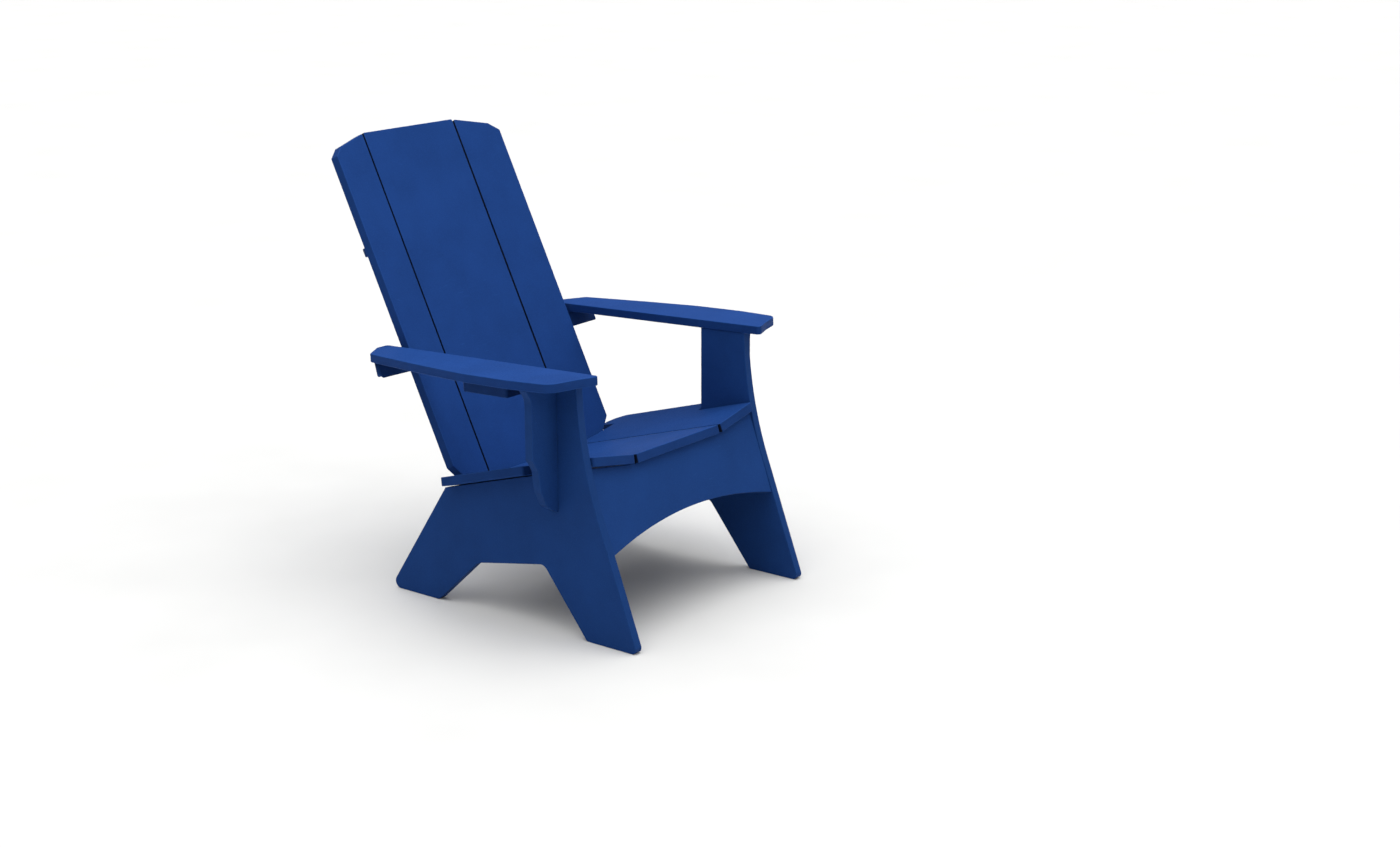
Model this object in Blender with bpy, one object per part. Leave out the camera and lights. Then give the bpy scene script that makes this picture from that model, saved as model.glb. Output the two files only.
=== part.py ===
"""Adirondack chair made of flat plastic boards, screws and hidden dowels.

The chair faces -Y and stands on the floor at Z = 0. Its sitter's left is +X. Sizes are in
millimetres and become metres when a mesh or a placement is made. Depths are first measured
rearwards from the toe of the front feet, then shifted so that the origin is at mid depth.
"""

import math

import bmesh
import bpy
from mathutils import Matrix

MM = 0.001
LEFT = 1
RIGHT = -1
SIDES = {"left": LEFT, "right": RIGHT}

SHEET = 19.0
GAP = 0.3
EDGE_ROUND = 1.6
ARC_STEP = math.radians(24)
DEPTH_CENTRE = 449.43

# Slopes of the board planes, in degrees.
SEAT_SLOPE = 16.07
BACK_RECLINE = 26.25
ARM_SLOPE = 2.193
APRON_LEAN = 19.65
WING_TILT = 10.25

# Side panels.
PANEL_OUTER = 291.6
PANEL_INNER = PANEL_OUTER - SHEET
LEG_BLEND_HEIGHT = 262.0
LEG_BLEND_DEPTH = 98.0
LEG_BLEND_RADIUS = 850.0
UPRIGHT_REAR = 269.0
ARM_REST_HEIGHT = 538.0

# Seat, back and arms.
SEAT_FRONT_DEPTH = 122.2
SEAT_FRONT_HEIGHT = 365.0
SEAT_SEAM = 142.9
SEAT_LENGTH = 415.0
BACK_FOOT_DEPTH = 405.3
BACK_SEAM = 141.2
BACK_LENGTH = 1069.0
BACK_TAIL = 205.0
SEAM_HALF = 2.0
ARM_FRONT_HEIGHT = 562.56
ARM_INNER = 270.0
ARM_OUTER = 391.5

# Cross pieces.
APRON_FOOT_DEPTH = 5.8
MIDDLE_RAIL_POSITION = 185.0
CROSSBAR_BASE = 483.0
CROSSBAR_REACH_LEFT = 362.0
CROSSBAR_REACH_RIGHT = 341.0
CROSSBAR_DEPTH = 22.0
UPPER_BATTEN_REACH = 228.0
LOWER_BATTEN_REACH = 205.0
BATTEN_BACK = 40.3
UPPER_BATTEN_HEIGHT = 806.0
LOWER_BATTEN_HEIGHT = 325.5
BLOCK_SIZE = (60.0, 122.0, 38.0)
CLEAT_WIDTH = 19.0

# Fasteners.
SHANK_RADIUS = 2.4
HEAD_RADIUS = 5.4
HEAD_HEIGHT = 3.0
COUNTERBORE_DEPTH = 8.0
DOWEL_RADIUS = 4.0
DOWEL_LENGTH = 26.0
ROUND_STEPS = 10

BLUE = {
    "arm": (0.023, 0.084, 0.323),
    "back": (0.018, 0.060, 0.246),
    "seat": (0.023, 0.072, 0.305),
    "frame": (0.013, 0.036, 0.133),
}
STEEL = (0.62, 0.62, 0.60)
WOOD = (0.55, 0.38, 0.20)


def clear_scene():
    """Removes every object that the file opened with."""
    for obj in list(bpy.data.objects):
        bpy.data.objects.remove(obj)


def make_material(name, colour, roughness, metallic=0.0):
    """Makes a Principled material with one colour."""
    material = bpy.data.materials.new(name)
    material.use_nodes = True
    shader = material.node_tree.nodes["Principled BSDF"]
    shader.inputs["Base Color"].default_value = (*colour, 1.0)
    shader.inputs["Roughness"].default_value = roughness
    shader.inputs["Metallic"].default_value = metallic
    return material


def place(depth, height, turn=0.0, across=0.0):
    """Gives the placement at a depth and a height, turned about the X axis in degrees."""
    where = Matrix.Translation((across * MM, (depth - DEPTH_CENTRE) * MM, height * MM))
    return where @ Matrix.Rotation(math.radians(turn), 4, "X")


def winged(plane, seam, side):
    """Tilts a board plane forwards about its seam, for the board outside that seam."""
    hinge = Matrix.Translation((side * seam * MM, 0, 0))
    return plane @ hinge @ Matrix.Rotation(math.radians(-side * WING_TILT), 4, "Y")


def fillet(corners):
    """Rounds an outline of (x, y, radius) corners and gives its (x, y) points."""
    points = []
    for index, (x, y, radius) in enumerate(corners):
        before = corners[index - 1]
        after = corners[(index + 1) % len(corners)]
        arrive = math.atan2(y - before[1], x - before[0])
        leave = math.atan2(after[1] - y, after[0] - x)
        turn = (leave - arrive + math.pi) % (2 * math.pi) - math.pi
        if radius == 0 or abs(turn) < 1e-6:
            points.append((x, y))
            continue
        reach = radius * math.tan(abs(turn) / 2)
        normal = arrive + math.copysign(math.pi / 2, turn)
        centre_x = x - reach * math.cos(arrive) + radius * math.cos(normal)
        centre_y = y - reach * math.sin(arrive) + radius * math.sin(normal)
        steps = max(2, math.ceil(abs(turn) / ARC_STEP))
        for step in range(steps + 1):
            angle = normal + math.pi + turn * step / steps
            points.append((centre_x + radius * math.cos(angle), centre_y + radius * math.sin(angle)))
    return points


def mirrored(half):
    """Completes an outline whose +X half is given, from its lower end to its upper end."""
    return half + [(-x, y, radius) for x, y, radius in reversed(half)]


def sided(corners, side):
    """Mirrors an outline across X = 0 for the right side."""
    return [(side * x, y, radius) for x, y, radius in corners]


def extruded(corners, thickness):
    """Extrudes a rounded outline from the XY plane up along Z."""
    shape = bmesh.new()
    corner_points = [shape.verts.new((x * MM, y * MM, 0)) for x, y in fillet(corners)]
    face = shape.faces.new(corner_points)
    top = bmesh.ops.extrude_face_region(shape, geom=[face])["geom"]
    top_points = [item for item in top if isinstance(item, bmesh.types.BMVert)]
    bmesh.ops.translate(shape, verts=top_points, vec=(0, 0, thickness * MM))
    return shape


def add_object(name, shape, placement, material=None):
    """Turns a bmesh into a placed object with smooth curves and crisp edges."""
    bmesh.ops.recalc_face_normals(shape, faces=shape.faces)
    mesh = bpy.data.meshes.new(name)
    shape.to_mesh(mesh)
    shape.free()
    mesh.shade_smooth()
    mesh.set_sharp_from_angle(angle=math.radians(40))
    obj = bpy.data.objects.new(name, mesh)
    bpy.context.scene.collection.objects.link(obj)
    obj.matrix_world = placement
    if material:
        mesh.materials.append(material)
    return obj


def add_board(name, corners, placement, colour, thickness=SHEET):
    """Adds one board with eased edges, cut from its outline."""
    material = make_material(name, colour, 0.55)
    board = add_object(name, extruded(corners, thickness), placement, material)
    ease_edges(board)
    return board


def ease_edges(board):
    """Eases the sharp edges of a board."""
    bevel = board.modifiers.new("eased_edges", "BEVEL")
    bevel.width = EDGE_ROUND * MM
    bevel.segments = 1
    bevel.limit_method = "ANGLE"
    bevel.angle_limit = math.radians(50)


def turned(profile):
    """Spins a profile of (radius, height) points, which starts and ends on the Z axis."""
    shape = bmesh.new()
    verts = [shape.verts.new((radius * MM, 0, height * MM)) for radius, height in profile]
    edges = [shape.edges.new(pair) for pair in zip(verts, verts[1:])]
    bmesh.ops.spin(
        shape,
        geom=verts + edges,
        axis=(0, 0, 1),
        cent=(0, 0, 0),
        angle=2 * math.pi,
        steps=ROUND_STEPS,
        use_merge=True,
    )
    bmesh.ops.remove_doubles(shape, verts=shape.verts, dist=1e-6)
    return shape


def drill(name, placement, radius, low, high, boards):
    """Cuts one round hole along the placement's Z axis through the boards it meets."""
    shape = turned([(0, low), (radius, low), (radius, high), (0, high)])
    cutter = add_object(name + "_cutter", shape, placement)
    cutter.hide_render = True
    cutter.display_type = "WIRE"
    for board in boards:
        cut = board.modifiers.new(name, "BOOLEAN")
        cut.operation = "DIFFERENCE"
        cut.solver = "EXACT"
        cut.object = cutter


def add_screw(name, placement, length, boards, stand=0.0):
    """Adds a pan-head screw that is driven along +Z from the surface at the placement."""
    seat = -GAP - stand
    top = seat - HEAD_HEIGHT
    profile = [
        (0, top),
        (HEAD_RADIUS - 1.2, top),
        (HEAD_RADIUS, top + 1.2),
        (HEAD_RADIUS, seat),
        (SHANK_RADIUS, seat),
        (SHANK_RADIUS, length - 3.0),
        (0, length),
    ]
    add_object(name, turned(profile), placement, make_material(name, STEEL, 0.3, 1.0))
    drill(name, placement, SHANK_RADIUS + GAP, -2.0, length + 0.5, boards)


def add_dowel(name, placement, boards):
    """Adds a hidden dowel, half in each of two boards that meet at the placement."""
    half = DOWEL_LENGTH / 2
    nose = DOWEL_RADIUS - 1.0
    profile = [
        (0, -half),
        (nose, -half),
        (DOWEL_RADIUS, 1.0 - half),
        (DOWEL_RADIUS, half - 1.0),
        (nose, half),
        (0, half),
    ]
    add_object(name, turned(profile), placement, make_material(name, WOOD, 0.7))
    drill(name, placement, DOWEL_RADIUS + GAP, -half - 0.5, half + 0.5, boards)


SEAT_PLANE = place(SEAT_FRONT_DEPTH, SEAT_FRONT_HEIGHT, -SEAT_SLOPE)
BACK_PLANE = place(BACK_FOOT_DEPTH, 0, 90 - BACK_RECLINE)
ARM_PLANE = place(0, ARM_FRONT_HEIGHT, -ARM_SLOPE)
APRON_PLANE = place(APRON_FOOT_DEPTH, 0, 90 - APRON_LEAN)
SIDE_TURN = Matrix.Rotation(math.pi / 2, 4, "Z") @ Matrix.Rotation(math.pi / 2, 4, "X")


def shifted(plane, x=0.0, y=0.0, z=0.0, turn=0.0):
    """Gives the placement at a point of a plane, turned about the plane's X axis in degrees."""
    move = Matrix.Translation((x * MM, y * MM, z * MM))
    return plane @ move @ Matrix.Rotation(math.radians(turn), 4, "X")


def arm_underside(depth):
    """Gives the height of the arms' lower face at a depth."""
    slope = math.radians(ARM_SLOPE)
    return ARM_FRONT_HEIGHT - depth * math.tan(slope) - SHEET / math.cos(slope)


def seat_rest_height(depth):
    """Gives the height of the side seat boards' lower face along the panels' inner faces."""
    tilt = math.radians(WING_TILT)
    slope = math.radians(SEAT_SLOPE)
    lift = (PANEL_INNER - SEAT_SEAM) * math.tan(tilt) - SHEET / math.cos(tilt)
    drop = (depth - SEAT_FRONT_DEPTH) * math.tan(slope)
    return SEAT_FRONT_HEIGHT - drop + lift / math.cos(slope)


def leg_front_curve():
    """Gives the curved top of the front leg's front edge, from the arm down to the straight part."""
    lean = math.atan2(LEG_BLEND_DEPTH, LEG_BLEND_HEIGHT)
    points = []
    for step in range(6, 0, -1):
        rise = (ARM_REST_HEIGHT - LEG_BLEND_HEIGHT) * step / 6
        angle = math.asin(math.sin(lean) - rise / LEG_BLEND_RADIUS)
        depth = LEG_BLEND_DEPTH + LEG_BLEND_RADIUS * (math.cos(angle) - math.cos(lean))
        points.append((depth, LEG_BLEND_HEIGHT + rise, 0))
    return points


def side_panel_outline():
    """Gives the outline of a side panel, in depth and height."""
    curve = leg_front_curve()
    front_depth = curve[0][0]
    curve[0] = (front_depth, arm_underside(front_depth) - GAP, 0)
    outline = [
        (0, 0, 10),
        (133, 0, 6),
        (246, 142, 20),
        (431, 107, 40),
        (547, 0, 12),
        (690, 0, 15),
        (518, seat_rest_height(518) - GAP, 4),
        (UPRIGHT_REAR, seat_rest_height(UPRIGHT_REAR) - GAP, 6),
        (UPRIGHT_REAR, arm_underside(UPRIGHT_REAR) - GAP, 0),
    ]
    return outline + curve + [(LEG_BLEND_DEPTH, LEG_BLEND_HEIGHT, 0)]


def arm_outline():
    """Gives the outline of an arm, in width and depth."""
    return [
        (ARM_INNER, 106, 8),
        (318, 126, 80),
        (380, 144, 30),
        (ARM_OUTER, 246, 200),
        (ARM_OUTER, 372, 300),
        (376, 505, 0),
        (357, 634, 60),
        (351, 664, 26),
        (300, 697, 18),
        (ARM_INNER, 697, 8),
    ]


def fin_outline():
    """Gives the outline of the bracket under an arm, in width and height."""
    inner = PANEL_OUTER + GAP
    top = arm_underside(222) - GAP
    return [
        (inner, 262, 0),
        (325, 281, 30),
        (344, 318, 50),
        (350, 361, 12),
        (367, 388, 10),
        (367, 511, 30),
        (383, top, 0),
        (inner, top, 0),
    ]


def side_seat_outline(word):
    """Gives the outline of a side seat board, from its seam outwards and from front to rear."""
    notch = 152.5
    front = [
        (SEAM_HALF, 0, 3),
        (127.8, 0, 5),
        (127.8, notch, 3),
        (174.5, notch, 5),
    ]
    rear = {
        "left": [(174.5, 404, 14), (160, 428, 10), (142, 440, 4), (121, 440, 3), (121, 397.5, 2)],
        "right": [(174.5, 395, 5), (116, 397.5, 30)],
    }
    return front + rear[word] + [(SEAM_HALF, SEAT_LENGTH, 3)]


def side_slat_outline():
    """Gives the outline of a side back slat, from its seam outwards and from bottom to top."""
    return [
        (SEAM_HALF, 272, 3),
        (77, 272, 6),
        (116.3, 316.9, 4),
        (116.3, 1021.1, 4),
        (90.9, 1041.7, 4),
        (SEAM_HALF, 1067, 3),
    ]


def add_sides():
    """Adds the side panels, the arms and the brackets under the arms."""
    parts = {}
    for word, side in SIDES.items():
        inner_face = PANEL_INNER if side == LEFT else -PANEL_OUTER
        panel_place = place(0, 0, across=inner_face) @ SIDE_TURN
        panel = add_board("side_panel_" + word, side_panel_outline(), panel_place, BLUE["frame"])
        arm_place = shifted(ARM_PLANE, z=-SHEET)
        arm = add_board("arm_" + word, sided(arm_outline(), side), arm_place, BLUE["arm"])
        fin_place = place(222, 0, 90)
        fin = add_board("arm_bracket_" + word, sided(fin_outline(), side), fin_place, BLUE["frame"])
        parts[word] = {"panel": panel, "arm": arm, "fin": fin}
    return parts


def add_seat():
    """Adds the three seat boards."""
    under = shifted(SEAT_PLANE, z=-SHEET)
    half = SEAT_SEAM - SEAM_HALF
    centre = mirrored([(half, 0, 3), (half, SEAT_LENGTH, 3)])
    add_board("seat_board_centre", centre, under, BLUE["seat"])
    for word, side in SIDES.items():
        wing = shifted(winged(SEAT_PLANE, SEAT_SEAM, side), z=-SHEET)
        add_board("seat_board_" + word, sided(side_seat_outline(word), side), wing, BLUE["seat"])


def add_back():
    """Adds the three back slats."""
    half = BACK_SEAM - SEAM_HALF
    outline = mirrored([(half, BACK_TAIL, 4), (half, BACK_LENGTH, 3)])
    behind = shifted(BACK_PLANE, z=-SHEET)
    slats = {"centre": add_board("back_slat_centre", outline, behind, BLUE["back"])}
    for word, side in SIDES.items():
        wing = shifted(winged(BACK_PLANE, BACK_SEAM, side), z=-SHEET)
        outline = sided(side_slat_outline(), side)
        slats[word] = add_board("back_slat_" + word, outline, wing, BLUE["back"])
    return slats


def apron_outline():
    """Gives the outline of the front apron: an arch below, the seat's shallow V above."""
    end = PANEL_INNER - GAP
    seam = SEAT_SEAM - SEAM_HALF
    slant = math.cos(math.radians(APRON_LEAN))
    shares = [step / 6 for step in range(-6, 7)]
    arch = [(end * share, (225.5 - 35.0 * share**2) / slant, 0) for share in shares]
    top = 342.3 / slant
    wing_top = 361.5 / slant
    return arch + [(end, wing_top, 0), (seam, top, 0), (-seam, top, 0), (-end, wing_top, 0)]


def add_rails():
    """Adds the apron and the two rails that carry the seat between the side panels."""
    end = PANEL_INNER - GAP
    seam = SEAT_SEAM - SEAM_HALF
    apron_place = shifted(APRON_PLANE, z=-SHEET)
    middle_place = shifted(SEAT_PLANE, y=MIDDLE_RAIL_POSITION, turn=-90)
    rear_place = shifted(BACK_PLANE, z=GAP)
    middle = mirrored([(end, 78, 4), (end, -3.5, 0), (seam, SHEET + 0.8, 0)])
    rear = mirrored([(end, 188, 4), (end, 276, 0), (seam, 253.0, 0)])
    return {
        "apron": add_board("front_apron", apron_outline(), apron_place, BLUE["frame"]),
        "middle": add_board("seat_rail_middle", middle, middle_place, BLUE["frame"]),
        "rear": add_board("seat_rail_rear", rear, rear_place, BLUE["frame"]),
    }


def add_batten(name, height, reach):
    """Adds a batten behind the back slats, its front edge cut to follow them."""
    fall = math.tan(math.radians(WING_TILT))
    seam = BACK_SEAM - 1.0
    front = SHEET + 0.9
    end_front = front - (reach - seam) * fall
    outline = mirrored([(seam, front, 0), (reach, end_front, 0), (reach, BATTEN_BACK, 5)])
    return add_board(name, outline, shifted(BACK_PLANE, y=height, turn=-90), BLUE["back"])


def crossbar_outline():
    """Gives the crossbar's floor outline, whose front edge follows the slats."""
    seam = BACK_SEAM - 0.7
    front = [
        (-CROSSBAR_REACH_RIGHT, 642.0, 6),
        (-257.5, 642.0, 0),
        (-seam, 665.7, 0),
        (seam, 665.7, 0),
        (257.5, 642.0, 0),
        (CROSSBAR_REACH_LEFT, 642.0, 6),
    ]
    return front + [(x, depth + CROSSBAR_DEPTH, radius) for x, depth, radius in reversed(front)]


def add_crossbar():
    """Adds the bar behind the slats that carries the arms' rear ends.

    Its cross-section leans with the back, its floor is level and its top meets the arms.
    """
    lean = math.tan(math.radians(BACK_RECLINE))
    slope = math.tan(math.radians(ARM_SLOPE))
    shape = extruded(crossbar_outline(), 1.0)
    for vert in shape.verts:
        if vert.co.z > 0:
            depth = vert.co.y / MM
            rise = (arm_underside(depth) - GAP - CROSSBAR_BASE) / (1 + slope * lean)
            vert.co.z = rise * MM
            vert.co.y += rise * lean * MM
    material = make_material("arm_crossbar", BLUE["frame"], 0.55)
    bar = add_object("arm_crossbar", shape, place(0, CROSSBAR_BASE), material)
    ease_edges(bar)
    return bar


def add_block():
    """Adds the block under the right arm, behind the upright."""
    width, length, height = BLOCK_SIZE
    corners = [(-width / 2, 0, 4), (width / 2, 0, 4), (width / 2, length, 4), (-width / 2, length, 4)]
    block_place = shifted(ARM_PLANE, x=-300.0, y=303.0, z=-SHEET - GAP - height)
    return add_board("under_arm_block", corners, block_place, BLUE["frame"], height)


def add_cleat(name, low, high, plane):
    """Adds a corner cleat between two opposite corners given in a plane's own axes."""
    x_low, y_low, z_low = low
    x_high, y_high, z_high = high
    corners = [(x_low, y_low, 2), (x_high, y_low, 2), (x_high, y_high, 2), (x_low, y_high, 2)]
    thickness = z_high - z_low
    return add_board(name, corners, shifted(plane, z=z_low), BLUE["frame"], thickness)


def towards(plane, x, y, z, turn_x=0.0, turn_y=0.0):
    """Gives a screw's placement at a point of a plane, turned from the plane's Z axis."""
    spin = Matrix.Rotation(math.radians(turn_y), 4, "Y")
    return shifted(plane, x, y, z, turn_x) @ spin


def add_cleats(sides, rails):
    """Adds the six cleats in the corners between the side panels and the cross pieces."""
    apron_back = -SHEET - GAP
    rail_front = SHEET + 2 * GAP
    middle_plane = shifted(SEAT_PLANE, y=MIDDLE_RAIL_POSITION, turn=-90)
    spans = {
        "apron": (APRON_PLANE, 225.0, 335.0, apron_back - CLEAT_WIDTH),
        "middle": (middle_plane, 24.0, 74.0, SHEET + GAP),
        "rear": (BACK_PLANE, 192.0, 244.0, rail_front),
    }
    for word, side in SIDES.items():
        for rail, (plane, low, high, z) in spans.items():
            outer = side * (PANEL_INNER - GAP)
            inner = outer - side * CLEAT_WIDTH
            name = f"cleat_{rail}_{word}"
            span = sorted((inner, outer))
            top = z + CLEAT_WIDTH
            cleat = add_cleat(name, (span[0], low, z), (span[1], high, top), plane)
            middle = z + CLEAT_WIDTH / 2
            panel = sides[word]["panel"]
            outwards = towards(plane, inner, low + 14, middle, turn_y=side * 90)
            add_screw(f"screw_{rail}_panel_{word}", outwards, 33.0, [cleat, panel])
            if rail == "apron":
                inwards = towards(plane, (inner + outer) / 2, high - 14, z)
                add_screw(f"screw_apron_{word}", inwards, 33.0, [cleat, rails["apron"]])


def add_back_screws(slats, rails, battens, crossbar):
    """Adds the screws that hold the slats to the battens, the crossbar and the rear rail."""
    rows = {
        "upper": (battens["upper"], UPPER_BATTEN_HEIGHT + SHEET / 2, UPPER_BATTEN_REACH - 32.0),
        "lower": (battens["lower"], LOWER_BATTEN_HEIGHT + SHEET / 2, LOWER_BATTEN_REACH - 32.0),
    }
    for row, (batten, height, outer) in rows.items():
        for word, side in SIDES.items():
            for slat, x, length in (("centre", 70.0, 33.0), (word, outer, 40.0)):
                start = shifted(BACK_PLANE, side * x, height, -BATTEN_BACK)
                name = f"screw_{row}_batten_{slat}_{word}"
                add_screw(name, start, length, [batten, slats[slat]])
    for word, side in SIDES.items():
        start = shifted(BACK_PLANE, side * 70.0, 228.0, -SHEET)
        add_screw(f"screw_rear_rail_{word}", start, 33.0, [slats["centre"], rails["rear"]])
        start = shifted(BACK_PLANE, side * 90.0, 577.0, -SHEET - 20.8)
        add_screw(f"screw_crossbar_slat_{word}", start, 34.0, [crossbar, slats["centre"]])


def add_arm_fasteners(sides, crossbar):
    """Adds the screws and dowels that hold the arms to the crossbar, panels and brackets."""
    for word, side in SIDES.items():
        arm = sides[word]["arm"]
        for spot, x in (("inner", 290.0), ("outer", 325.0)):
            start = place(653.5, CROSSBAR_BASE, -BACK_RECLINE, side * x)
            name = f"screw_crossbar_arm_{spot}_{word}"
            add_screw(name, start, 52.0, [crossbar, arm], stand=-COUNTERBORE_DEPTH)
            drill(name + "_counterbore", start, HEAD_RADIUS + GAP, -6.0, COUNTERBORE_DEPTH, [crossbar])
        centre = side * (PANEL_INNER + SHEET / 2)
        for spot, depth in (("front", 185.0), ("rear", 245.0)):
            seat = place(depth, arm_underside(depth), across=centre)
            add_dowel(f"dowel_arm_{spot}_{word}", seat, [arm, sides[word]["panel"]])
        for spot, height in (("upper", 490.0), ("lower", 320.0)):
            seat = place(212.5, height, across=side * PANEL_OUTER)
            seat = seat @ Matrix.Rotation(math.pi / 2, 4, "Y")
            add_dowel(f"dowel_bracket_{spot}_{word}", seat, [sides[word]["fin"], sides[word]["panel"]])


def build():
    """Builds the whole chair."""
    clear_scene()
    sides = add_sides()
    add_seat()
    slats = add_back()
    rails = add_rails()
    battens = {
        "upper": add_batten("back_batten_upper", UPPER_BATTEN_HEIGHT, UPPER_BATTEN_REACH),
        "lower": add_batten("back_batten_lower", LOWER_BATTEN_HEIGHT, LOWER_BATTEN_REACH),
    }
    crossbar = add_crossbar()
    add_block()
    add_cleats(sides, rails)
    add_back_screws(slats, rails, battens, crossbar)
    add_arm_fasteners(sides, crossbar)


build()
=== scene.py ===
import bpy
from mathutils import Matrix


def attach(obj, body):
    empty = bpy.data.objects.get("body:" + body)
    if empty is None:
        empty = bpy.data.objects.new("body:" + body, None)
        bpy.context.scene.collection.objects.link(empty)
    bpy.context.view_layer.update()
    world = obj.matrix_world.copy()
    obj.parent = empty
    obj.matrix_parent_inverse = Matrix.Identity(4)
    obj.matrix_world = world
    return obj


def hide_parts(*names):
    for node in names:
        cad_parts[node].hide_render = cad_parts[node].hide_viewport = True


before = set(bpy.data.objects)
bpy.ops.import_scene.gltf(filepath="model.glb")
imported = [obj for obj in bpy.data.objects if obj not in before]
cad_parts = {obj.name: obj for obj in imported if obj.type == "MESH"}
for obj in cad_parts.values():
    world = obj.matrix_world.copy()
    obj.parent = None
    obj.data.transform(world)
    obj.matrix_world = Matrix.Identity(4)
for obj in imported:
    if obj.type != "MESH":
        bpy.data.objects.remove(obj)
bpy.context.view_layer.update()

import logging
import math
from dataclasses import dataclass, field
from enum import Enum
from typing import Any, NamedTuple

import bmesh
import bpy
from mathutils import Matrix, Vector
from mathutils.geometry import intersect_point_line

LOG = logging.getLogger("adirondack_chair")
BODY = "root"

# Lengths are in millimetres and angles in degrees until a mesh is placed. Depths
# count from the toe of the front feet, and heights from the floor.
MM = 0.001
SHEET = 19.0  # The boards' thickness.
GAP = 0.3  # Air between two pieces that touch in the real chair.
DEPTH_CENTRE = 449.43  # Depth of the chair's middle.
ARC_STEP = math.radians(6)  # The widest step of a rounded corner.
SLACK = 1e-6  # The length, in metres, below which two points are one.

# Where the planes of seat, back, arms and apron start, and how they lean.
SEAT_FRONT = 122.2
SEAT_HEIGHT = 365.0
SEAT_SLOPE = 16.07
BACK_FOOT = 405.3
BACK_RECLINE = 26.25
ARM_HEIGHT = 562.56
ARM_SLOPE = 2.193
APRON_FOOT = 5.8
APRON_LEAN = 19.65
WING_TILT = 10.25  # Tilt of the outer seat boards and back slats.

# Distances from the chair's middle.
PANEL_OUTER = 291.6
PANEL_INNER = PANEL_OUTER - SHEET
SEAT_SEAM = 142.9
BACK_SEAM = 141.2
SEAM_HALF = 2.0  # Half the width of an open seam.
SEAM_WIDTH = 2.2  # How far from a seam's line its painted shade reaches.
SEAM_REACH = 2000.0  # Half the length of a seam's line, past any board's end.

# Sizes that a board shares with the screws that hold it.
MIDDLE_RAIL = 185.0
BATTEN_BACK = 40.3
CLEAT_WIDTH = 19.0
BAR_FLOOR = 483.0
BAR_SCREW_DEPTH = 653.5
COUNTERBORE = 8.0
ARM_SCREWS = {"inner": 290.0, "outer": 325.0}


class Side(Enum):
    """The two sides of the chair, as the sitter names them."""

    LEFT = 1
    RIGHT = -1

    @property
    def word(self) -> str:
        """The side's name as it stands in the piece names."""
        return self.name.lower()


class Surface(Enum):
    """The two ways that a board's surface was made."""

    FACE = 0
    CUT_EDGE = 1


class Corner(NamedTuple):
    """A corner of a board's outline and the radius that it is rounded to."""

    x: float
    y: float
    radius: float = 0.0


Outline = list[Corner]


def linear_colour(hex_colour: str) -> tuple[float, float, float, float]:
    """Turns an sRGB hex colour into a linear one.

    Args:
        hex_colour: Six hex digits after a hash sign.

    Returns:
        Red, green, blue and an alpha of 1.
    """
    channels = [int(hex_colour[start : start + 2], 16) / 255 for start in (1, 3, 5)]
    red, green, blue = (
        c / 12.92 if c <= 0.04045 else ((c + 0.055) / 1.055) ** 2.4 for c in channels
    )
    return red, green, blue, 1.0


def add_node(
    tree: bpy.types.NodeTree,
    kind: str,
    settings: dict[str, Any] | None = None,
    inputs: dict[str | int, Any] | None = None,
) -> bpy.types.Node:
    """Adds one node, sets it and links it.

    Args:
        tree: The material's node tree.
        kind: The node's type name after ShaderNode.
        settings: The node's own properties.
        inputs: For each input, the socket that feeds it or its fixed value.

    Returns:
        The new node.
    """
    node = tree.nodes.new("ShaderNode" + kind)
    for name, value in (settings or {}).items():
        setattr(node, name, value)
    for name, value in (inputs or {}).items():
        if isinstance(value, bpy.types.NodeSocket):
            tree.links.new(value, node.inputs[name])
        else:
            node.inputs[name].default_value = value
    return node


def new_material(name: str) -> tuple[bpy.types.Material, bpy.types.NodeTree]:
    """Makes a material with an empty node tree.

    Args:
        name: What the material is.

    Returns:
        The material and its tree.
    """
    material = bpy.data.materials.new(name)
    material.use_nodes = True
    material.node_tree.nodes.clear()
    return material, material.node_tree


def close_material(
    tree: bpy.types.NodeTree,
    colour: bpy.types.NodeSocket,
    roughness: bpy.types.NodeSocket,
    normal: bpy.types.NodeSocket,
    fixed: dict[str, float],
) -> None:
    """Feeds the shader and the output of a material.

    Args:
        tree: The material's node tree.
        colour: The base colour's socket.
        roughness: The roughness socket.
        normal: The bumped normal's socket.
        fixed: Values that are the same all over the surface.
    """
    linked = {"Base Color": colour, "Roughness": roughness, "Normal": normal}
    shader = add_node(tree, "BsdfPrincipled", inputs={**linked, **fixed})
    add_node(tree, "OutputMaterial", inputs={"Surface": shader.outputs["BSDF"]})


def mixed(
    tree: bpy.types.NodeTree, share: Any, first: Any, second: Any, blend: str = "MIX"
) -> bpy.types.NodeSocket:
    """Mixes two colours.

    Args:
        tree: The material's node tree.
        share: How much of the second colour shows.
        first: The colour at a share of 0.
        second: The colour at a share of 1.
        blend: The way that the second lies over the first.

    Returns:
        The mixed colour's socket.
    """
    settings = {"data_type": "RGBA", "blend_type": blend}
    node = add_node(tree, "Mix", settings, {"Factor": share, 6: first, 7: second})
    return node.outputs[2]


def spread(
    tree: bpy.types.NodeTree,
    value: bpy.types.NodeSocket,
    source: tuple[float, float],
    target: tuple[float, float],
) -> bpy.types.NodeSocket:
    """Maps a value from one range to another, held at the ends.

    Args:
        tree: The material's node tree.
        value: The socket to map.
        source: The range that it comes in.
        target: The range that it leaves in.

    Returns:
        The mapped value's socket.
    """
    inputs = {
        "Value": value,
        "From Min": source[0],
        "From Max": source[1],
        "To Min": target[0],
        "To Max": target[1],
    }
    return add_node(tree, "MapRange", inputs=inputs).outputs["Result"]


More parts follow.
